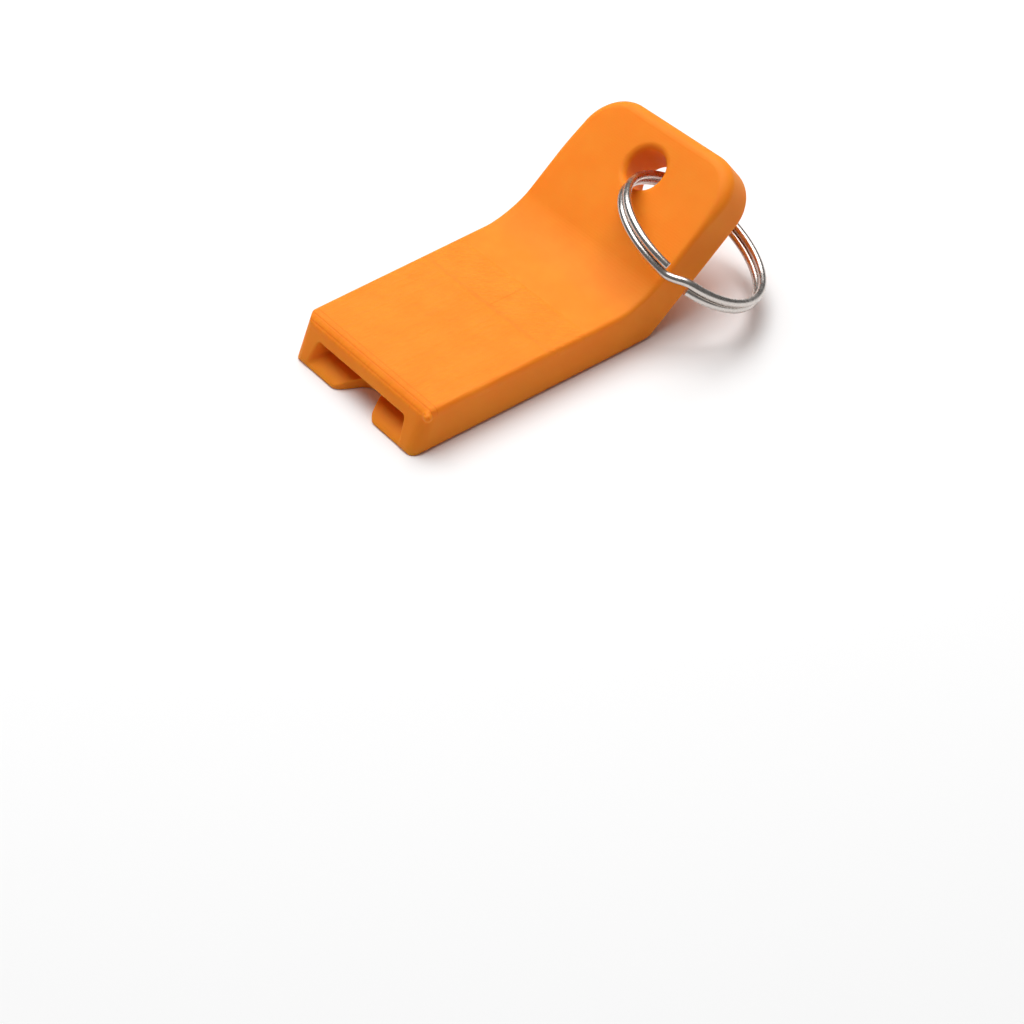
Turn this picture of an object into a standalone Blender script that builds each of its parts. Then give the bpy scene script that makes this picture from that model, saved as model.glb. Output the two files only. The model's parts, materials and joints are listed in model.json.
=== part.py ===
"""Slotted key-fob tool: a one-piece printed lever body with a steel split ring.

Metres, +Z up. The body lies flat on its underside at Z = 0 with its mouth facing -Y. The origin
is on the underside, at mid width, halfway along the flat base. The finger tab rises at the +Y
end, and the split ring passes through the tab's hole and round its right edge.
"""

from math import asin, atan2, cos, hypot, pi, radians, sin, sqrt, tan

import bmesh
import bpy
from mathutils import Matrix, Vector

MM = 0.001

# Body: a flat plate cranked up into a finger tab
FRONT_WIDTH = 22.0 * MM
REAR_WIDTH = 23.0 * MM
FULL_WIDTH_BEFORE_VALLEY = 2.0 * MM
BASE_LENGTH = 31.2 * MM          # front bottom edge to the valley line, along Y
PLATE_THICKNESS = 5.2 * MM
FRONT_LEAN = 2.4 * MM            # how far the front face leans back over its height
TAB_ANGLE = radians(37.7)
TAB_LENGTH = 18.9 * MM           # valley line to the tab's far end, along the tab
TAB_CORNER_RADIUS = 5.0 * MM
EDGE_RADIUS = 0.6 * MM           # soft edges all round the plate
TAB_END_RADIUS = 1.5 * MM        # edge between the tab's upper face and its far end
FRONT_TOP_RADIUS = 1.9 * MM
VALLEY_RADIUS = 10.0 * MM
BEND_RADIUS = 3.0 * MM           # outside of the bend, under the tab

# Pocket behind the mouth
POCKET_WIDTH = 15.4 * MM
POCKET_DEPTH = 18.7 * MM         # from the front bottom edge
POCKET_HEIGHT = 2.0 * MM
FLOOR_THICKNESS = 1.3 * MM
LIP_THICKNESS = 0.2 * MM         # floor at its front edge, where the lead-in starts
LEAD_IN_SLOPE = 1.0              # rise over run of the lead-in, on the floor and both sides

# Notch in the pocket's floor: a round seat with a flared throat
SEAT_RADIUS = 2.1 * MM
SEAT_FROM_FRONT = 1.7 * MM
THROAT_WIDTH = 6.8 * MM

# Ring hole in the tab
HOLE_RADIUS = 2.5 * MM
HOLE_FROM_VALLEY = 13.0 * MM
HOLE_RIM = 0.8 * MM              # softened rim on the tab's upper face

# Split ring: one round spring wire wound nearly twice
RING_OUTER_DIAMETER = 20.0 * MM
WIRE_DIAMETER = 0.95 * MM
LAYER_GAP = 0.05 * MM
RING_GAP_ANGLE = radians(20)     # stretch where the wire crosses from one layer to the other
RING_GAP_AT = radians(-42)       # middle of that stretch, from the side furthest from the hole
RING_DROP = 1.1 * MM             # ring's centre below the tab's mid plane
RING_WALL_GAP = 1.025 * MM       # between the wound wire and the nearer side of the hole
RING_SWING = radians(-23)        # towards the valley from straight sideways
RING_LEAN = radians(23)          # from upright, where the hole has room for it
RING_LEAN_GAP = 0.42 * MM        # kept between the leaning wire and the hole's two ends

# Fineness of round shapes
ARC_STEP = radians(9)
EDGE_SEGMENTS = 3
HOLE_SEGMENTS = 40
RIM_SEGMENTS = 3
WIRE_POINTS_PER_TURN = 60
OVERCUT = 2.0 * MM               # how far a cutter stands out of what it cuts

FRONT = -BASE_LENGTH / 2
TAB_ALONG = Vector((0, cos(TAB_ANGLE), sin(TAB_ANGLE)))
TAB_NORMAL = Vector((0, -sin(TAB_ANGLE), cos(TAB_ANGLE)))
VALLEY = Vector((0, FRONT + BASE_LENGTH, PLATE_THICKNESS))
HOLE_TOP = VALLEY + TAB_ALONG * HOLE_FROM_VALLEY
HOLE_CENTRE = HOLE_TOP - TAB_NORMAL * PLATE_THICKNESS / 2


def frame_at(origin, x_axis, y_axis, z_axis):
    """Matrix whose columns are three axes and an origin."""
    made = Matrix((x_axis, y_axis, z_axis)).transposed().to_4x4()
    made.translation = origin
    return made


SIDE_FRAME = frame_at(Vector(), Vector((0, 1, 0)), Vector((0, 0, 1)), Vector((1, 0, 0)))
TAB_FRAME = frame_at(VALLEY, Vector((1, 0, 0)), TAB_ALONG, TAB_NORMAL)
HOLE_FRAME = frame_at(HOLE_TOP, Vector((1, 0, 0)), TAB_ALONG, TAB_NORMAL)


def clear_scene():
    for item in list(bpy.data.objects):
        bpy.data.objects.remove(item, do_unlink=True)


def collection(name):
    made = bpy.data.collections.new(name)
    bpy.context.scene.collection.children.link(made)
    return made


def material(name, colour, roughness, metallic):
    made = bpy.data.materials.new(name)
    made.use_nodes = True
    shader = made.node_tree.nodes["Principled BSDF"]
    shader.inputs["Base Color"].default_value = (*colour, 1)
    shader.inputs["Roughness"].default_value = roughness
    shader.inputs["Metallic"].default_value = metallic
    return made


def arc(centre, radius, start, turn):
    """Points along an arc, from a start angle and through a signed turn."""
    steps = max(2, round(abs(turn) / ARC_STEP))
    angles = (start + turn * step / steps for step in range(steps + 1))
    return [centre + radius * Vector((cos(a), sin(a))) for a in angles]


def rounded(corners):
    """Outline through corners given as (x, y, radius), each corner an arc of its own radius."""
    outline = []
    for index, (x, y, radius) in enumerate(corners):
        here = Vector((x, y))
        if radius == 0:
            outline.append(here)
            continue
        before = (Vector(corners[index - 1][:2]) - here).normalized()
        after = (Vector(corners[(index + 1) % len(corners)][:2]) - here).normalized()
        half = before.angle(after) / 2
        centre = here + (before + after).normalized() * radius / sin(half)
        first = here + before * radius / tan(half) - centre
        last = here + after * radius / tan(half) - centre
        turn = -first.angle_signed(last)
        outline += arc(centre, radius, atan2(first.y, first.x), turn)
    return outline


def prism(name, outline, half_height, frame, group):
    """Solid of a flat outline, standing out equally on both sides of its frame's XY plane."""
    curve = bpy.data.curves.new(name, "CURVE")
    curve.dimensions = "2D"
    curve.fill_mode = "BOTH"
    curve.extrude = half_height
    spline = curve.splines.new("POLY")
    spline.points.add(len(outline) - 1)
    for point, place in zip(spline.points, outline):
        point.co = (place[0], place[1], 0, 1)
    spline.use_cyclic_u = True
    flat = bpy.data.objects.new(name, curve)
    flat.matrix_world = frame
    group.objects.link(flat)
    return meshed(flat, group)


def meshed(flat, group):
    """The mesh object that takes a curve object's name, shape and place."""
    bpy.context.view_layer.update()
    evaluated = flat.evaluated_get(bpy.context.evaluated_depsgraph_get())
    mesh = bpy.data.meshes.new_from_object(evaluated)
    name = flat.name
    place = flat.matrix_world.copy()
    bpy.data.objects.remove(flat, do_unlink=True)
    work = bmesh.new()
    work.from_mesh(mesh)
    bmesh.ops.remove_doubles(work, verts=work.verts, dist=MM / 1000)
    bmesh.ops.recalc_face_normals(work, faces=work.faces)
    work.to_mesh(mesh)
    work.free()
    made = bpy.data.objects.new(name, mesh)
    made.matrix_world = place
    group.objects.link(made)
    return made


def cut(target, cutter, operation="DIFFERENCE"):
    cutter.hide_render = True
    cutter.display_type = "WIRE"
    modifier = target.modifiers.new(cutter.name, "BOOLEAN")
    modifier.operation = operation
    modifier.object = cutter


def side_profile():
    """Outline of the cranked plate, seen from its side, in (Y, Z)."""
    bend_reach = PLATE_THICKNESS * tan(TAB_ANGLE / 2)
    end_top = VALLEY + TAB_ALONG * TAB_LENGTH
    end_bottom = end_top - TAB_NORMAL * PLATE_THICKNESS
    return rounded([
        (FRONT, 0, 0),
        (VALLEY.y + bend_reach, 0, BEND_RADIUS),
        (end_bottom.y, end_bottom.z, 0),
        (end_top.y, end_top.z, TAB_END_RADIUS),
        (VALLEY.y, VALLEY.z, VALLEY_RADIUS),
        (FRONT + FRONT_LEAN, PLATE_THICKNESS, FRONT_TOP_RADIUS),
    ])


def plan_outline():
    """Outline seen from above: the width grows from the front to just before the valley."""
    far = VALLEY.y + TAB_LENGTH + PLATE_THICKNESS
    full = VALLEY.y - FULL_WIDTH_BEFORE_VALLEY
    growth = (REAR_WIDTH - FRONT_WIDTH) / 2 / (full - FRONT)
    half = REAR_WIDTH / 2
    half_before = FRONT_WIDTH / 2 - growth * OVERCUT
    right = [(half_before, FRONT - OVERCUT), (half, full), (half, far)]
    return right + [(-x, y) for x, y in reversed(right)]


def corner_outline(side):
    """What is cut off one far corner of the tab, in the tab's plane.

    The arc's two end chords run on past the tab's side and end, so that they cross those faces.
    """
    half = REAR_WIDTH / 2
    centre = Vector((half - TAB_CORNER_RADIUS, TAB_LENGTH - TAB_CORNER_RADIUS))
    inside = arc(centre, TAB_CORNER_RADIUS, 0, pi / 2)
    inside[0] = 2 * inside[0] - inside[1]
    inside[-1] = 2 * inside[-1] - inside[-2]
    outside_x = half + OVERCUT
    outside_y = TAB_LENGTH + OVERCUT
    outside = [(inside[-1].x, outside_y), (outside_x, outside_y), (outside_x, inside[0].y)]
    return [(side * x, y) for x, y in [*inside, *outside]]


def block(name, low, high, group):
    """Box solid between two opposite corners."""
    mesh = bpy.data.meshes.new(name)
    work = bmesh.new()
    bmesh.ops.create_cube(work, size=1)
    middle = (Vector(low) + Vector(high)) / 2
    size = Vector(high) - Vector(low)
    bmesh.ops.transform(work, verts=work.verts, matrix=Matrix.LocRotScale(middle, None, size))
    work.to_mesh(mesh)
    work.free()
    made = bpy.data.objects.new(name, mesh)
    group.objects.link(made)
    return made


def pocket_cutters(group):
    """The flat pocket, and the lead-in that widens and deepens it towards the front edge."""
    half = POCKET_WIDTH / 2
    roof = FLOOR_THICKNESS + POCKET_HEIGHT
    back = FRONT + POCKET_DEPTH
    pocket = block("pocket", (-half, FRONT - OVERCUT, FLOOR_THICKNESS), (half, back, roof), group)
    run = (FLOOR_THICKNESS - LIP_THICKNESS) / LEAD_IN_SLOPE
    lead_in = block("lead_in", (-half, FRONT - run, FLOOR_THICKNESS), (half, FRONT + run, roof), group)
    opening = 2 * run * LEAD_IN_SLOPE
    for corner in lead_in.data.vertices:
        if corner.co.y < FRONT:
            corner.co.x += opening if corner.co.x > 0 else -opening
            corner.co.z -= 0 if corner.co.z > FLOOR_THICKNESS else opening
    return pocket, lead_in


def notch_outline():
    """Round seat and flared throat, open towards the front, measured from the front edge."""
    half_throat = THROAT_WIDTH / 2
    throat_corner = atan2(-SEAT_FROM_FRONT, half_throat)
    touch = throat_corner + pi / 2 - asin(SEAT_RADIUS / hypot(half_throat, SEAT_FROM_FRONT))
    seat = arc(Vector((0, SEAT_FROM_FRONT)), SEAT_RADIUS, touch, pi - 2 * touch)
    flare = half_throat + OVERCUT
    return [(half_throat, 0), *seat, (-half_throat, 0), (-flare, -OVERCUT), (flare, -OVERCUT)]


def hole_cutter(group):
    """Turned cutter for the ring hole, with a softened rim on the tab's upper face."""
    angles = [pi / 2 * k / RIM_SEGMENTS for k in range(RIM_SEGMENTS + 1)]
    rim = [(HOLE_RADIUS + HOLE_RIM * (1 - sin(a)), HOLE_RIM * (cos(a) - 1)) for a in angles]
    reach = PLATE_THICKNESS + OVERCUT
    top = [(0, OVERCUT), (HOLE_RADIUS + HOLE_RIM, OVERCUT)]
    profile = [*top, *rim, (HOLE_RADIUS, -reach), (0, -reach)]
    mesh = bpy.data.meshes.new("ring_hole")
    work = bmesh.new()
    points = [work.verts.new((x, 0, z)) for x, z in profile]
    for start, end in zip(points, points[1:]):
        work.edges.new((start, end))
    work.to_mesh(mesh)
    work.free()
    made = bpy.data.objects.new("ring_hole", mesh)
    made.matrix_world = HOLE_FRAME
    turned = made.modifiers.new("turned", "SCREW")
    turned.steps = HOLE_SEGMENTS
    turned.render_steps = HOLE_SEGMENTS
    turned.use_merge_vertices = True
    turned.merge_threshold = MM / 100
    turned.use_normal_calculate = True
    group.objects.link(made)
    return made


def soften_edges(body):
    soften = body.modifiers.new("soft_edges", "BEVEL")
    soften.width = EDGE_RADIUS
    soften.segments = EDGE_SEGMENTS
    soften.use_clamp_overlap = False
    soften.limit_method = "ANGLE"
    soften.angle_limit = radians(40)


def lever_body(parts, cutters):
    body = prism("lever_body", side_profile(), REAR_WIDTH, SIDE_FRAME, parts)
    tall = BASE_LENGTH + TAB_LENGTH
    cut(body, prism("plan", plan_outline(), tall, Matrix(), cutters), "INTERSECT")
    for side, name in ((1, "right_corner"), (-1, "left_corner")):
        cut(body, prism(name, corner_outline(side), tall / 2, TAB_FRAME, cutters))
    soften_edges(body)
    for cutter in pocket_cutters(cutters):
        cut(body, cutter)
    notch_height = FLOOR_THICKNESS + POCKET_HEIGHT / 2
    notch_frame = Matrix.Translation((0, FRONT, 0))
    cut(body, prism("notch", notch_outline(), notch_height, notch_frame, cutters))
    cut(body, hole_cutter(cutters))
    body.data.materials.append(material("orange_plastic", (0.93, 0.30, 0.03), 0.5, 0))


def ring_mean_radius():
    return (RING_OUTER_DIAMETER - WIRE_DIAMETER) / 2


def hole_play():
    """Free room beside the ring's two layers of wire when they stand in the middle of the hole."""
    return HOLE_RADIUS - (WIRE_DIAMETER + LAYER_GAP / 2)


def ring_lean():
    """The ring's lean, or less where the wire would near the sides of the hole at its two ends."""
    return min(RING_LEAN, atan2(hole_play() - RING_LEAN_GAP, PLATE_THICKNESS / 2))


def ring_frame():
    """Place of the ring: X from the hole's side through the ring's centre, Z its own axis."""
    outward = Vector((cos(RING_SWING), 0, 0)) + TAB_ALONG * sin(RING_SWING)
    across = TAB_NORMAL.cross(outward)
    axis = across * cos(ring_lean()) + TAB_NORMAL * sin(ring_lean())
    reach = sqrt(ring_mean_radius() ** 2 - RING_DROP ** 2)
    aside = hole_play() - RING_WALL_GAP
    centre = HOLE_CENTRE + outward * reach + across * aside - TAB_NORMAL * RING_DROP
    return frame_at(centre, outward, axis.cross(outward), axis)


def wire_path():
    """Centre line of the wire: a layer, the crossing to the other layer, and that layer."""
    radius = ring_mean_radius()
    half_pitch = (WIRE_DIAMETER + LAYER_GAP) / 2
    first = RING_GAP_AT + RING_GAP_ANGLE / 2
    layer_turn = 2 * pi - RING_GAP_ANGLE
    total = 2 * layer_turn + RING_GAP_ANGLE
    count = round(total / (2 * pi) * WIRE_POINTS_PER_TURN)
    points = []
    for step in range(count + 1):
        along = total * step / count
        crossing = min(1, max(0, (along - layer_turn) / RING_GAP_ANGLE))
        height = -half_pitch * cos(pi * crossing)
        angle = first + along
        points.append(Vector((radius * cos(angle), radius * sin(angle), height)))
    return points


def split_ring(parts):
    """The ring, on an empty at the hole's middle whose Z is the axis that the ring swings round."""
    pivot = bpy.data.objects.new("ring_pivot", None)
    pivot.matrix_basis = frame_at(HOLE_CENTRE, Vector((1, 0, 0)), TAB_ALONG, TAB_NORMAL)
    parts.objects.link(pivot)
    curve = bpy.data.curves.new("split_ring", "CURVE")
    curve.dimensions = "3D"
    curve.bevel_depth = WIRE_DIAMETER / 2
    curve.bevel_resolution = 2
    curve.use_fill_caps = True
    points = wire_path()
    spline = curve.splines.new("POLY")
    spline.points.add(len(points) - 1)
    for point, place in zip(spline.points, points):
        point.co = (*place, 1)
    ring = bpy.data.objects.new("split_ring", curve)
    ring.parent = pivot
    ring.matrix_parent_inverse = pivot.matrix_basis.inverted()
    ring.matrix_basis = ring_frame()
    curve.materials.append(material("nickel", (0.62, 0.60, 0.58), 0.25, 1))
    parts.objects.link(ring)


def main():
    clear_scene()
    parts = collection("slotted_key_fob_tool")
    cutters = collection("cutters")
    lever_body(parts, cutters)
    split_ring(parts)


main()
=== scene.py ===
"""Looks of the slotted key-fob tool: a printed lever body and a nickel split ring.

Lengths are in metres. The body's surface is found from a distance field, which is made of the
same faces and sizes as the CAD solid, and adds soft rims and a bead of plastic. The other marks
of printing are bump in the material, and their grooves get painted shade in its colour.
"""
import json
from math import cos, pi, radians, sin, sqrt

import bmesh
import bpy
import numpy as np
from mathutils import Matrix, Vector


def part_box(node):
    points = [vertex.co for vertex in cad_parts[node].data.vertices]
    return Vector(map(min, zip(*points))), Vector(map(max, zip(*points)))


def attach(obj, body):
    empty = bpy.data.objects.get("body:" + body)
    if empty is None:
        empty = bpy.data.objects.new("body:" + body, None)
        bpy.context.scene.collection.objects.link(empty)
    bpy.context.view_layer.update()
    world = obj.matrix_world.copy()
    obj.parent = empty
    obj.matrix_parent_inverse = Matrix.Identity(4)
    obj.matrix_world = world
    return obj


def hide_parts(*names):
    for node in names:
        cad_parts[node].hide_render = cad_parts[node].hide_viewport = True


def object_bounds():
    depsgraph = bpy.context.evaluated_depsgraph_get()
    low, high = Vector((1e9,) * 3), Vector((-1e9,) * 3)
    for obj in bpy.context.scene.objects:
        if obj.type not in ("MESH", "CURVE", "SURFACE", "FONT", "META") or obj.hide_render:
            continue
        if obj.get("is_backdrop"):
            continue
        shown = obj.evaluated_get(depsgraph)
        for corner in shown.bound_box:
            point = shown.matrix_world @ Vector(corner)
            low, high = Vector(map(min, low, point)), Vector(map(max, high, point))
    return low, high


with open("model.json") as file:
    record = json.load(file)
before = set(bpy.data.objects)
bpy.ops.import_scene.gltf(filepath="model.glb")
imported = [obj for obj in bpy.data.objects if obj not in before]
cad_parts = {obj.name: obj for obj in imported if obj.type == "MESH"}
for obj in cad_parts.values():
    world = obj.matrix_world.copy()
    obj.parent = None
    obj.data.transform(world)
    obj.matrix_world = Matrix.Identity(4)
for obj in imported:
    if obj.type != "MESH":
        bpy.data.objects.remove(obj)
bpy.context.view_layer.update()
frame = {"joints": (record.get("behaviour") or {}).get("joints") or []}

MM = 0.001

# Body, where the frame doesn't give the size
PLATE_THICKNESS = 5.2 * MM
BASE_LENGTH = 31.2 * MM
TAB_LENGTH = 18.9 * MM
HOLE_FROM_VALLEY = 13.0 * MM
FRONT_WIDTH = 22.0 * MM
FULL_WIDTH_BEFORE_VALLEY = 2.0 * MM
FRONT_LEAN = 2.4 * MM
TAB_CORNER_RADIUS = 5.0 * MM
EDGE_RADIUS = 0.6 * MM
TAB_END_RADIUS = 1.5 * MM
FRONT_CORNER_RADIUS = 1.5 * MM
FRONT_TOP_RADIUS = 1.9 * MM
VALLEY_RADIUS = 10.0 * MM
BEND_RADIUS = 3.0 * MM
POCKET_WIDTH = 15.4 * MM
POCKET_DEPTH = 18.7 * MM
POCKET_HEIGHT = 2.0 * MM
FLOOR_THICKNESS = 1.3 * MM
LIP_THICKNESS = 0.2 * MM
SEAT_RADIUS = 2.1 * MM
SEAT_FROM_FRONT = 1.7 * MM
THROAT_WIDTH = 6.8 * MM
HOLE_RADIUS = 2.5 * MM

# Soft rims
MOUTH_RIM = 0.2 * MM
POCKET_CORNER = 0.5 * MM
RAMP_CROWN = 1.2 * MM            # where the lead-in runs out into the pocket's floor
NOTCH_RIM = 0.16 * MM
LIP_NOSE = 1.1 * MM
HOLE_RIM = 0.8 * MM
HOLE_BACK_RIM = 0.3 * MM

# Fineness of the body's mesh
STEP = 0.125 * MM
TRIANGLES = 190_000
MESH_MARGIN = 4 * STEP
SLOPE_REACH = 0.02 * MM          # the field's slope is measured this far to either side
SETTLE_ROUNDS = 3
LEAST_SLOPE = 0.5

# Ring
RING_OUTER_DIAMETER = 20.0 * MM
WIRE_DIAMETER = 0.95 * MM
LAYER_GAP = 0.03 * MM
RING_GAP_ANGLE = radians(20)
RING_GAP_AT = radians(-42)
RING_DROP = 1.1 * MM
RING_SIDE_STEP = 0.5 * MM
RING_SWING = radians(-23)
RING_LEAN = radians(23)
WIRE_POINTS_PER_TURN = 180
WIRE_SIDES = 24
END_CHAMFER = 0.06 * MM
SHARP_ANGLE = radians(35)

# Marks of printing on the base's upper face. Places are in mm behind the front bottom edge, and
# heights are in mm.
LAYER_PITCH = 0.2
LAYER_HEIGHT = 0.0016
GRAIN_HEIGHT = 0.006
RASTER_HEIGHT = 0.12
GROOVE_HEIGHT = 0.03
FIRST_STEP_LINE = 2.3
STEP_LINE_PITCH = 0.65
STEP_LINES = 3
BAND_AT = 18.6                   # where the skin over the pocket ends
BAND_HALF = 9.5
SMOOTH_FROM = 23.65
SEAM_AT = 0.7
SEAM_END = 22.95
DASH_TURN = radians(51)
STROKE_SCALE = (2.2, 0.2, 0.2)   # how often the strokes over the pocket repeat, per mm
DASH_SCALE = (0.8, 3.5, 0.2)     # the same for the slanting strokes behind it
STROKE_DETAIL = 1.0
STROKE_FADE = 1.0
MARK_BLUR = 0.3
BAND_LINE_HALF = 0.35
BAND_LINE_SHARE = 0.5            # how deep the band's line is beside the other lines
BAND_END_BLUR = 0.2
SEAM_HALF = 0.16
STEP_LINE_HALF = 0.13
MARKS_START = 1.2                # below the base's upper face
MARKS_FULL = 0.6
SMOOTH_FADE = 1.5
GRAIN_SCALE = 6.0

# Bead of plastic on the front right top corner
BEAD = Vector((10.9 * MM, 2.4 * MM, 4.5 * MM))   # its Y is behind the front bottom edge
BEAD_RADIUS = 0.42 * MM
BEAD_BLEND = 0.5 * MM

# Orange plastic
ORANGE_DEEP = (0.98, 0.250, 0.011, 1)
ORANGE_PALE = (0.99, 0.272, 0.015, 1)
# Painted shade: the darker, redder colour that the grooves of the printed lines are drawn with,
# and how far towards it they go
ORANGE_GROOVE_SHADE = (0.84, 0.14, 0.006, 1)
GROOVE_SHADE_SHARE = 0.35
TINT_SCALE = 0.25
NOISE_LOW = 0.3                  # a noise is spread out between these two values
NOISE_HIGH = 0.7
ORANGE_ROUGHNESS = 0.6
ORANGE_GLOSS = 0.18
GLOW_WEIGHT = 0.4
GLOW_RADIUS = (1.0, 0.25, 0.05)
GLOW_DEPTH = 2.5 * MM

# Nickel
NICKEL_COLOUR = (0.62, 0.575, 0.54, 1)
NICKEL_SMOOTH = 0.22
NICKEL_ROUGH = 0.32
HAZE_SCALE = 1.2
HAZE_DETAIL = 4.0

# Camera
CAMERA_AROUND = radians(51.078)
CAMERA_ABOVE = radians(43.721)
CAMERA_ROLL = radians(0.153)
CAMERA_PLACE = (142.02, -92.18, 145.44)   # in mm, its Y from the front bottom edge
LENS = 72.45
SENSOR_WIDTH = 36
NEAREST = 10 * MM
FARTHEST = 10

# Floor
FLOOR_HALF = 1.5
FLOOR_COLOUR = (0.9, 0.9, 0.9, 1)
FLOOR_ROUGHNESS = 0.9
FLOOR_GLOSS = 0.1

# Light
DOME_FROM = 0.05                 # heights on the dome between which it brightens
DOME_TO = 0.75
DOME_LOW = 2.35
DOME_HIGH = 3.35
KEY_POWER = 4.2
KEY_SIZE = 0.55
KEY_PLACE = (-0.16, 0.10, 0.5)

hinge = frame["joints"][0]
HOLE_CENTRE = Vector(hinge["pos_m"])
TAB_NORMAL = Vector(hinge["axis"]).normalized()
TAB_ALONG = TAB_NORMAL.cross(Vector((1, 0, 0)))
TAB_TURN = TAB_NORMAL.angle(Vector((0, 0, 1)))
VALLEY = HOLE_CENTRE + TAB_NORMAL * PLATE_THICKNESS / 2 - TAB_ALONG * HOLE_FROM_VALLEY
FRONT = VALLEY.y - BASE_LENGTH
REAR_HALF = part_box("lever_body")[1].x
ROOF = FLOOR_THICKNESS + POCKET_HEIGHT


def round_max(a, b, radius):
    """Two fields' intersection, its edge rounded. The radius is exact between square faces."""
    return np.minimum(np.maximum(a, b), -radius) + np.hypot(
        np.maximum(a + radius, 0), np.maximum(b + radius, 0))


def round_min(a, b, radius):
    return -round_max(-a, -b, radius)


def fillet(radius, cosine):
    """round_max's radius for a true fillet radius between faces whose normals have that cosine."""
    return radius * (1 - cosine)


def smooth_step(value, low, high):
    share = np.clip((value - low) / (high - low), 0, 1)
    return share * share * (3 - 2 * share)


def tab_place(y, z):
    """How far a point lies along the tab from the valley, and how far out of its upper face."""
    dy, dz = y - VALLEY.y, z - VALLEY.z
    return dy * TAB_ALONG.y + dz * TAB_ALONG.z, dy * TAB_NORMAL.y + dz * TAB_NORMAL.z


def plate_field(x, y, z):
    """The cranked plate with its rounded edges, without its pocket, notch and hole."""
    along, out = tab_place(y, z)
    bend = cos(TAB_TURN)
    top = round_min(z - PLATE_THICKNESS, out, fillet(VALLEY_RADIUS, bend))
    bottom = round_max(-z, -out - PLATE_THICKNESS, fillet(BEND_RADIUS, bend))
    slope = sqrt(PLATE_THICKNESS ** 2 + FRONT_LEAN ** 2)
    rise, lean = PLATE_THICKNESS / slope, FRONT_LEAN / slope
    front = z * lean - (y - FRONT) * rise
    upper = round_max(top, front, fillet(FRONT_TOP_RADIUS, lean))
    lower = round_max(bottom, front, EDGE_RADIUS * rise)
    profile = np.maximum(upper, lower)
    share = np.clip((y - FRONT) / (VALLEY.y - FULL_WIDTH_BEFORE_VALLEY - FRONT), 0, 1)
    half = FRONT_WIDTH / 2 + (REAR_HALF - FRONT_WIDTH / 2) * share
    plan = round_max(np.abs(x) - half, along - TAB_LENGTH, TAB_CORNER_RADIUS)
    corner = round_max(front, np.abs(x) - half, FRONT_CORNER_RADIUS)
    at_end = smooth_step(along, TAB_LENGTH - 2 * TAB_CORNER_RADIUS, TAB_LENGTH - TAB_END_RADIUS)
    above = smooth_step(out, -PLATE_THICKNESS + TAB_END_RADIUS, -TAB_END_RADIUS)
    edge = EDGE_RADIUS + (TAB_END_RADIUS - EDGE_RADIUS) * at_end * above
    return np.maximum(round_max(profile, plan, edge), corner)


def pocket_field(x, y, z):
    """The pocket, negative inside, with the lead-in that widens it towards the front edge."""
    depth = y - FRONT
    run = FLOOR_THICKNESS - LIP_THICKNESS
    half = POCKET_WIDTH / 2
    floor = round_min(FLOOR_THICKNESS - z, (LIP_THICKNESS + depth - z) / sqrt(2), RAMP_CROWN)
    sides = round_min(np.abs(x) - half, (np.abs(x) - half - run + depth) / sqrt(2), RAMP_CROWN)
    tall = round_max(floor, z - ROOF, POCKET_CORNER)
    return round_max(round_max(tall, sides, POCKET_CORNER), depth - POCKET_DEPTH, POCKET_CORNER)


def notch_field(x, y, z):
    """The notch in the pocket's floor: a round seat, and a throat that flares to the front."""
    across, depth = np.abs(x), y - FRONT - SEAT_FROM_FRONT
    seat = np.hypot(across, depth) - SEAT_RADIUS
    half_throat = THROAT_WIDTH / 2
    reach = sqrt(half_throat ** 2 + SEAT_FROM_FRONT ** 2)
    touch = np.arctan2(-SEAT_FROM_FRONT, half_throat) + pi / 2 - np.arcsin(SEAT_RADIUS / reach)
    wall = across * cos(touch) + depth * sin(touch) - SEAT_RADIUS
    throat = np.maximum(wall, depth - SEAT_RADIUS * sin(touch))
    open_front = round_min(np.minimum(seat, throat), y - FRONT, LIP_NOSE)
    return np.maximum(open_front, z - (FLOOR_THICKNESS + ROOF) / 2)


def body_field(points):
    """Signed distance, nearly, to the finished body's surface."""
    x, y, z = points[..., 0], points[..., 1], points[..., 2]
    body = plate_field(x, y, z)
    body = round_max(body, -pocket_field(x, y, z), MOUTH_RIM)
    body = round_max(body, -notch_field(x, y, z), NOTCH_RIM)
    along, out = tab_place(y, z)
    hole = np.hypot(x, along - HOLE_FROM_VALLEY) - HOLE_RADIUS
    upper = smooth_step(out, -PLATE_THICKNESS, 0)
    body = round_max(body, -hole, HOLE_BACK_RIM + (HOLE_RIM - HOLE_BACK_RIM) * upper)
    bead = np.sqrt((x - BEAD.x) ** 2 + (y - FRONT - BEAD.y) ** 2 + (z - BEAD.z) ** 2)
    return round_min(body, bead - BEAD_RADIUS, BEAD_BLEND)


def grid_values(field, axes):
    """The field at every point of a grid, worked out one slice at a time."""
    values = np.empty([len(axis) for axis in axes], np.float32)
    y, z = np.meshgrid(axes[1], axes[2], indexing="ij")
    for index, x in enumerate(axes[0]):
        values[index] = field(np.stack((np.full_like(y, x), y, z), -1))
    return values


def crossed_edges(values, axis):
    """Where the zero level crosses the grid's edges along one axis.

    Gives a quad for each crossing, as the numbers of the four cells round that edge, and the
    crossing's place in grid steps. The quads face outwards.
    """
    starts = [slice(None)] * 3
    ends = [slice(None)] * 3
    starts[axis], ends[axis] = slice(None, -1), slice(1, None)
    inside = values < 0
    crossed = np.argwhere(inside[tuple(starts)] != inside[tuple(ends)])
    after = crossed.copy()
    after[:, axis] += 1
    first, last = values[tuple(crossed.T)], values[tuple(after.T)]
    places = crossed.astype(float)
    places[:, axis] += first / (first - last)
    side, other = [np.eye(3, dtype=int)[(axis + k) % 3] for k in (1, 2)]
    ring = [crossed - side - other, crossed - other, crossed, crossed - side]
    quads = np.stack([np.ravel_multi_index(cell.T, values.shape) for cell in ring], 1)
    quads[first >= 0] = quads[first >= 0, ::-1]
    return quads, places


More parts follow.
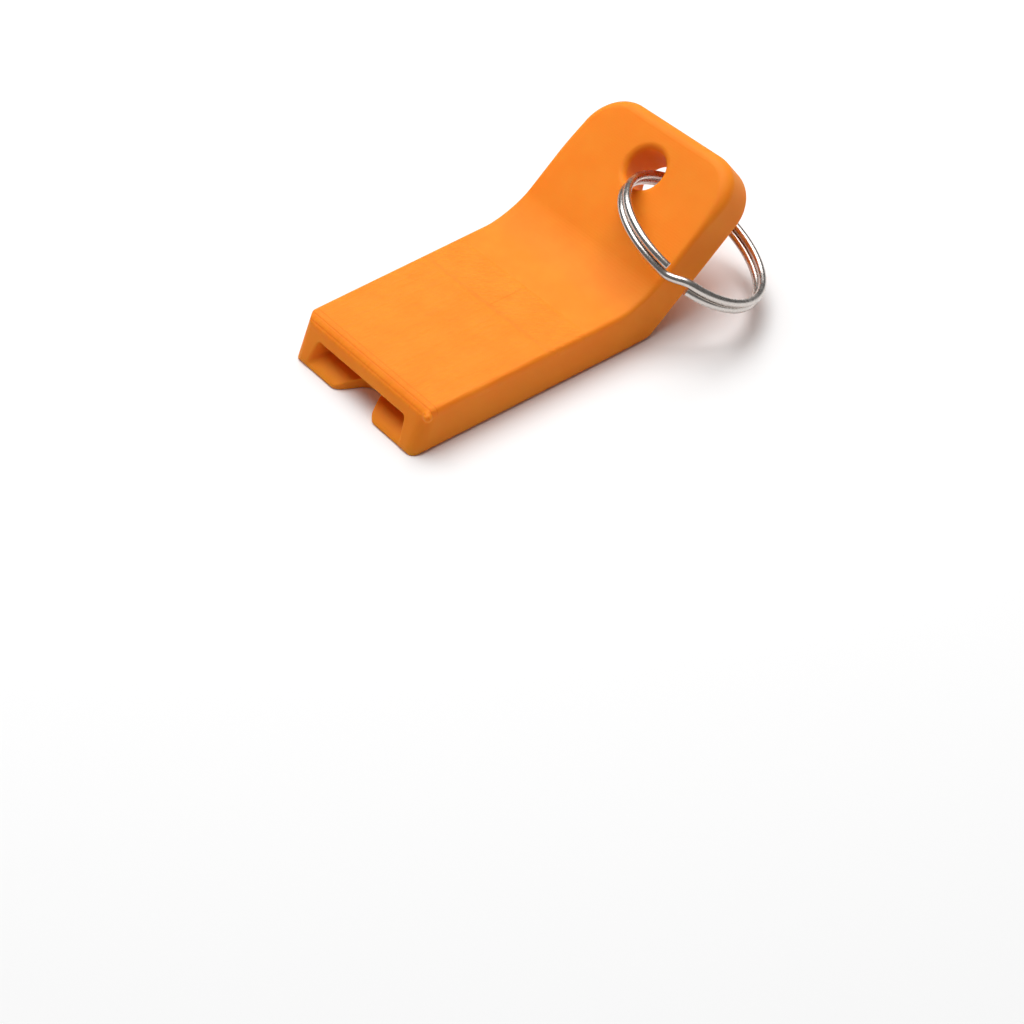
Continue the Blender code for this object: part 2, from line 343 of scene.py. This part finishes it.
def surface_net(field, low, high, step):
    """Quads over a field's zero level: a point in each grid cell that it crosses."""
    counts = [int(np.ceil((b - a) / step)) + 1 for a, b in zip(low, high)]
    axes = [a + step * np.arange(n, dtype=np.float64) for a, n in zip(low, counts)]
    values = grid_values(field, axes)
    found = [crossed_edges(values, axis) for axis in range(3)]
    quads = np.concatenate([cells for cells, _ in found])
    places = np.concatenate([np.repeat(crossings, 4, axis=0) for _, crossings in found])
    used, where = np.unique(quads.ravel(), return_inverse=True)
    share = np.bincount(where)
    points = np.stack([np.bincount(where, places[:, k]) / share for k in range(3)], 1)
    return np.array(low) + points * step, np.searchsorted(used, quads)


def gradient(field, points):
    steps = np.eye(3) * SLOPE_REACH
    change = [field(points + s) - field(points - s) for s in steps]
    return np.stack(change, -1) / (2 * SLOPE_REACH)


def settle(field, points):
    """Moves points onto the field's zero level."""
    for _ in range(SETTLE_ROUNDS):
        slope = gradient(field, points)
        size = np.maximum((slope ** 2).sum(-1), LEAST_SLOPE ** 2)
        points = points - slope * (field(points) / size)[:, None]
    return points


def mesh_object(name, points, faces):
    mesh = bpy.data.meshes.new(name)
    mesh.from_pydata(points.tolist(), [], faces.tolist())
    mesh.validate()
    made = bpy.data.objects.new(name, mesh)
    bpy.context.scene.collection.objects.link(made)
    return made


def evaluated_mesh(piece):
    bpy.context.view_layer.update()
    return bpy.data.meshes.new_from_object(
        piece.evaluated_get(bpy.context.evaluated_depsgraph_get()))


def thin_out(piece, share):
    """Leaves a share of a piece's triangles."""
    thin = piece.modifiers.new("thin", "DECIMATE")
    thin.ratio = share
    rough = piece.data
    name = rough.name
    piece.data = evaluated_mesh(piece)
    piece.modifiers.clear()
    bpy.data.meshes.remove(rough)
    piece.data.name = name


def shade_by_field(mesh, field):
    """Takes a mesh's shading normals from the field, which is smoother than the triangles."""
    mesh.shade_smooth()
    where = np.empty(len(mesh.vertices) * 3)
    mesh.vertices.foreach_get("co", where)
    normals = gradient(field, where.reshape(-1, 3))
    normals /= np.linalg.norm(normals, axis=1)[:, None]
    mesh.normals_split_custom_set_from_vertices(normals.tolist())


def lever_body():
    low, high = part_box("lever_body")
    points, quads = surface_net(
        body_field, [v - MESH_MARGIN for v in low], [v + MESH_MARGIN for v in high], STEP)
    piece = mesh_object("printed_body", settle(body_field, points), quads)
    thin_out(piece, TRIANGLES / (2 * len(quads)))
    shade_by_field(piece.data, body_field)
    return piece


def frame_at(origin, x_axis, y_axis, z_axis):
    made = Matrix((x_axis, y_axis, z_axis)).transposed().to_4x4()
    made.translation = origin
    return made


def ring_mean_radius():
    return (RING_OUTER_DIAMETER - WIRE_DIAMETER) / 2


def ring_frame():
    """Place of the ring: X from the hole's side through the ring's centre, Z its own axis."""
    outward = Vector((cos(RING_SWING), 0, 0)) + TAB_ALONG * sin(RING_SWING)
    across = TAB_NORMAL.cross(outward)
    axis = across * cos(RING_LEAN) + TAB_NORMAL * sin(RING_LEAN)
    reach = sqrt(ring_mean_radius() ** 2 - RING_DROP ** 2)
    centre = HOLE_CENTRE + outward * reach + across * RING_SIDE_STEP - TAB_NORMAL * RING_DROP
    return frame_at(centre, outward, axis.cross(outward), axis)


def wire_path():
    """Centre line of the wire: a layer, the smooth crossing to the other layer, and that layer."""
    half_pitch = (WIRE_DIAMETER + LAYER_GAP) / 2
    first = RING_GAP_AT + RING_GAP_ANGLE / 2
    layer_turn = 2 * pi - RING_GAP_ANGLE
    total = 2 * layer_turn + RING_GAP_ANGLE
    along = np.linspace(0, total, round(total / (2 * pi) * WIRE_POINTS_PER_TURN) + 1)
    crossing = np.clip((along - layer_turn) / RING_GAP_ANGLE, 0, 1)
    angle = first + along
    radius = ring_mean_radius()
    return np.stack((radius * np.cos(angle), radius * np.sin(angle),
                     -half_pitch * np.cos(pi * crossing)), 1)


def tube_rows():
    """Rows of points round the wire's path. The first and last rows make the ends' chamfers."""
    path = wire_path()
    ahead = np.gradient(path, axis=0)
    ahead /= np.linalg.norm(ahead, axis=1)[:, None]
    outward = path * (1, 1, 0)
    outward -= ahead * (outward * ahead).sum(1)[:, None]
    outward /= np.linalg.norm(outward, axis=1)[:, None]
    upward = np.cross(ahead, outward)
    rows = [0, *range(len(path)), -1]
    centres = path[rows]
    centres[0] -= ahead[0] * END_CHAMFER
    centres[-1] += ahead[-1] * END_CHAMFER
    radii = np.full(len(rows), WIRE_DIAMETER / 2)
    radii[[0, -1]] -= END_CHAMFER
    turns = np.linspace(0, 2 * pi, WIRE_SIDES, endpoint=False)
    rim = (outward[rows][:, None] * np.cos(turns)[None, :, None]
           + upward[rows][:, None] * np.sin(turns)[None, :, None])
    return centres[:, None] + rim * radii[:, None, None]


def tube_mesh(name, points):
    """A tube through rows of points, closed at both ends."""
    work = bmesh.new()
    rows = [[work.verts.new(p) for p in row] for row in points]
    for row, after in zip(rows, rows[1:]):
        for k in range(WIRE_SIDES):
            work.faces.new((row[k], row[k - 1], after[k - 1], after[k]))
    work.faces.new(rows[0])
    work.faces.new(reversed(rows[-1]))
    bmesh.ops.recalc_face_normals(work, faces=work.faces)
    mesh = bpy.data.meshes.new(name)
    work.to_mesh(mesh)
    work.free()
    return mesh


def split_ring():
    mesh = tube_mesh("wound_wire", tube_rows())
    mesh.transform(ring_frame())
    mesh.shade_smooth()
    mesh.set_sharp_from_angle(angle=SHARP_ANGLE)
    piece = bpy.data.objects.new("wound_wire", mesh)
    bpy.context.scene.collection.objects.link(piece)
    return piece


class Nodes:
    """A material's node tree, with short calls for the nodes used here."""

    def __init__(self, name):
        self.material = bpy.data.materials.new(name)
        self.material.use_nodes = True
        self.tree = self.material.node_tree
        self.shader = self.tree.nodes["Principled BSDF"]

    def add(self, kind, inputs=(), **settings):
        node = self.tree.nodes.new("ShaderNode" + kind)
        for name, value in settings.items():
            setattr(node, name, value)
        for key, value in dict(inputs).items():
            self.put(value, node.inputs[key])
        return node

    def put(self, value, socket):
        if isinstance(value, bpy.types.NodeSocket):
            self.tree.links.new(value, socket)
        elif isinstance(value, bpy.types.Node):
            self.tree.links.new(value.outputs[0], socket)
        else:
            socket.default_value = value

    def place_in_mm(self):
        place = self.add("TexCoord").outputs["Object"]
        return self.add("VectorMath", {0: place, "Scale": 1 / MM}, operation="SCALE")

    def math(self, operation, a, b=0.0, c=0.0):
        return self.add("Math", {0: a, 1: b, 2: c}, operation=operation)

    def ramp(self, value, low, high, to_low=0.0, to_high=1.0):
        """Smooth step of a value between two limits."""
        return self.add("MapRange", {0: value, 1: low, 2: high, 3: to_low, 4: to_high},
                        interpolation_type="SMOOTHSTEP")

    def noise(self, place, scale, detail=2.0):
        return self.add("TexNoise", {"Vector": place, "Scale": scale, "Detail": detail})

    def mix(self, share, a, b):
        """Mix of two colours. A mix node's colour sockets can only be told apart by number."""
        node = self.add("Mix", data_type="RGBA")
        self.put(share, node.inputs[0])
        self.put(a, node.inputs[6])
        self.put(b, node.inputs[7])
        return node.outputs[2]

    def set(self, **values):
        for name, value in values.items():
            self.put(value, self.shader.inputs[name.replace("_", " ")])


def groove(n, value, at, half_width):
    """One in the middle of a line where a value is reached, and none beyond its half width."""
    away = n.math("ABSOLUTE", n.math("SUBTRACT", value, at))
    return n.ramp(away, 0.0, half_width, 1.0, 0.0)


def between(n, value, low, high, blur):
    return n.math("MULTIPLY", n.ramp(value, low - blur, low + blur),
                  n.ramp(value, high - blur, high + blur, 1.0, 0.0))


def top_raster(n, in_mm, depth):
    """Wavy lengthwise strokes over the pocket, and short slanting ones behind it."""
    lengthwise = n.add("VectorMath", {0: in_mm, 1: STROKE_SCALE}, operation="MULTIPLY")
    turned = n.add("VectorRotate", {"Vector": in_mm, "Angle": -DASH_TURN}, rotation_type="Z_AXIS")
    slanting = n.add("VectorMath", {0: turned, 1: DASH_SCALE}, operation="MULTIPLY")
    over_pocket = n.math("MULTIPLY", n.noise(lengthwise, 1.0, STROKE_DETAIL),
                         n.ramp(depth, BAND_AT - STROKE_FADE, BAND_AT, 1.0, 0.0))
    behind = n.math("MULTIPLY", n.noise(slanting, 1.0, STROKE_DETAIL),
                    between(n, depth, BAND_AT, SMOOTH_FROM, MARK_BLUR))
    return n.math("ADD", over_pocket, behind)


def top_lines(n, x, depth):
    """Step lines at the front, the line at the pocket's end and the short lengthwise seam."""
    across = n.math("ABSOLUTE", x)
    band_width = n.ramp(across, BAND_HALF - BAND_END_BLUR, BAND_HALF + BAND_END_BLUR,
                        BAND_LINE_SHARE, 0.0)
    band = n.math("MULTIPLY", groove(n, depth, BAND_AT, BAND_LINE_HALF), band_width)
    seam = n.math("MULTIPLY", groove(n, x, SEAM_AT, SEAM_HALF),
                  between(n, depth, BAND_AT, SEAM_END, MARK_BLUR))
    lines = n.math("ADD", band, seam)
    for step in range(STEP_LINES):
        at = FIRST_STEP_LINE + step * STEP_LINE_PITCH
        lines = n.math("ADD", lines, groove(n, depth, at, STEP_LINE_HALF))
    return lines


def print_height(n, z, in_mm, raster, lines):
    """Height of the marks of printing: layers, grain and strokes, with the lines as grooves."""
    layer = n.math("SINE", n.math("MULTIPLY", z, 2 * pi / LAYER_PITCH))
    height = n.math("MULTIPLY", layer, LAYER_HEIGHT)
    height = n.math("MULTIPLY_ADD", n.noise(in_mm, GRAIN_SCALE), GRAIN_HEIGHT, height)
    height = n.math("MULTIPLY_ADD", raster, RASTER_HEIGHT, height)
    return n.math("MULTIPLY_ADD", lines, -GROOVE_HEIGHT, height)


def orange_print():
    """Slightly translucent orange plastic, with the marks of printing in flat layers, and painted
    shade darkening the grooves of their lines.
    """
    n = Nodes("orange_print")
    in_mm = n.place_in_mm()
    x, y, z = n.add("SeparateXYZ", {0: in_mm}).outputs
    depth = n.math("SUBTRACT", y, FRONT / MM)
    top = PLATE_THICKNESS / MM
    on_base = n.math("MULTIPLY", n.ramp(z, top - MARKS_START, top - MARKS_FULL),
                     n.ramp(depth, SMOOTH_FROM, SMOOTH_FROM + SMOOTH_FADE, 1.0, 0.0))
    lines = n.math("MULTIPLY", top_lines(n, x, depth), on_base)
    raster = n.math("MULTIPLY", top_raster(n, in_mm, depth), on_base)
    height = print_height(n, z, in_mm, raster, lines)
    bump = n.add("Bump", {"Strength": 1.0, "Distance": MM, "Height": height})
    tint = n.ramp(n.noise(in_mm, TINT_SCALE), NOISE_LOW, NOISE_HIGH)
    warm = n.mix(tint, ORANGE_DEEP, ORANGE_PALE)
    # Painted shade: the colour darkens and reddens along the grooves of the lines, as far as they
    # are deep
    colour = n.mix(n.math("MULTIPLY", lines, GROOVE_SHADE_SHARE), warm, ORANGE_GROOVE_SHADE)
    n.set(Base_Color=colour, Roughness=ORANGE_ROUGHNESS, Specular_IOR_Level=ORANGE_GLOSS,
          Normal=bump, Subsurface_Weight=GLOW_WEIGHT, Subsurface_Radius=GLOW_RADIUS,
          Subsurface_Scale=GLOW_DEPTH)
    return n.material


def nickel():
    """Bright nickel plate with a faint haze."""
    n = Nodes("nickel")
    haze = n.noise(n.place_in_mm(), HAZE_SCALE, HAZE_DETAIL)
    n.set(Base_Color=NICKEL_COLOUR, Metallic=1.0,
          Roughness=n.ramp(haze, NOISE_LOW, NOISE_HIGH, NICKEL_SMOOTH, NICKEL_ROUGH))
    return n.material


def finish_piece(piece, material, node, body):
    piece.data.materials.clear()
    piece.data.materials.append(material)
    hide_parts(node)
    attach(piece, body)


def camera():
    """The view that the object is judged from: right of its mouth, from above."""
    back = Vector((sin(CAMERA_AROUND) * cos(CAMERA_ABOVE),
                   -cos(CAMERA_AROUND) * cos(CAMERA_ABOVE), sin(CAMERA_ABOVE)))
    level = Vector((cos(CAMERA_AROUND), sin(CAMERA_AROUND), 0))
    upright = back.cross(level)
    right = level * cos(CAMERA_ROLL) + upright * sin(CAMERA_ROLL)
    up = upright * cos(CAMERA_ROLL) - level * sin(CAMERA_ROLL)
    data = bpy.data.cameras.new("camera")
    data.lens = LENS
    data.sensor_width = SENSOR_WIDTH
    data.clip_start = NEAREST
    data.clip_end = FARTHEST
    aside, behind_front, high = CAMERA_PLACE
    place = Vector((aside, FRONT / MM + behind_front, high)) * MM
    made = bpy.data.objects.new("camera", data)
    made.matrix_world = frame_at(place, right, up, back)
    bpy.context.scene.collection.objects.link(made)
    bpy.context.scene.camera = made


def floor():
    half = FLOOR_HALF
    mesh = bpy.data.meshes.new("floor")
    mesh.from_pydata([(-half, -half, 0), (half, -half, 0), (half, half, 0), (-half, half, 0)],
                     [], [(0, 1, 2, 3)])
    made = bpy.data.objects.new("floor", mesh)
    made.location.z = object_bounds()[0].z
    bpy.context.scene.collection.objects.link(made)
    n = Nodes("pale_floor")
    n.set(Base_Color=FLOOR_COLOUR, Roughness=FLOOR_ROUGHNESS, Specular_IOR_Level=FLOOR_GLOSS)
    mesh.materials.append(n.material)
    made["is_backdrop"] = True


def area_light(name, place, size, power):
    data = bpy.data.lights.new(name, "AREA")
    data.size = size
    data.energy = power
    made = bpy.data.objects.new(name, data)
    made.location = place
    made.rotation_euler = (-Vector(place)).to_track_quat("-Z", "Y").to_euler()
    bpy.context.scene.collection.objects.link(made)


def studio():
    """A white dome that darkens towards the horizon, and a soft overhead light."""
    world = bpy.data.worlds.new("studio")
    world.use_nodes = True
    tree = world.node_tree
    place = tree.nodes.new("ShaderNodeTexCoord")
    height = tree.nodes.new("ShaderNodeSeparateXYZ")
    ramp = tree.nodes.new("ShaderNodeMapRange")
    ramp.interpolation_type = "SMOOTHSTEP"
    limits = (DOME_FROM, DOME_TO, DOME_LOW, DOME_HIGH)
    for socket, value in zip(list(ramp.inputs)[1:5], limits):
        socket.default_value = value
    tree.links.new(place.outputs["Generated"], height.inputs[0])
    tree.links.new(height.outputs["Z"], ramp.inputs[0])
    tree.links.new(ramp.outputs[0], tree.nodes["Background"].inputs["Strength"])
    bpy.context.scene.world = world
    area_light("key", KEY_PLACE, KEY_SIZE, KEY_POWER)
    bpy.context.scene.view_settings.view_transform = "Standard"


finish_piece(lever_body(), orange_print(), "lever_body", "body")
finish_piece(split_ring(), nickel(), "split_ring", "ring")
camera()
floor()
studio()
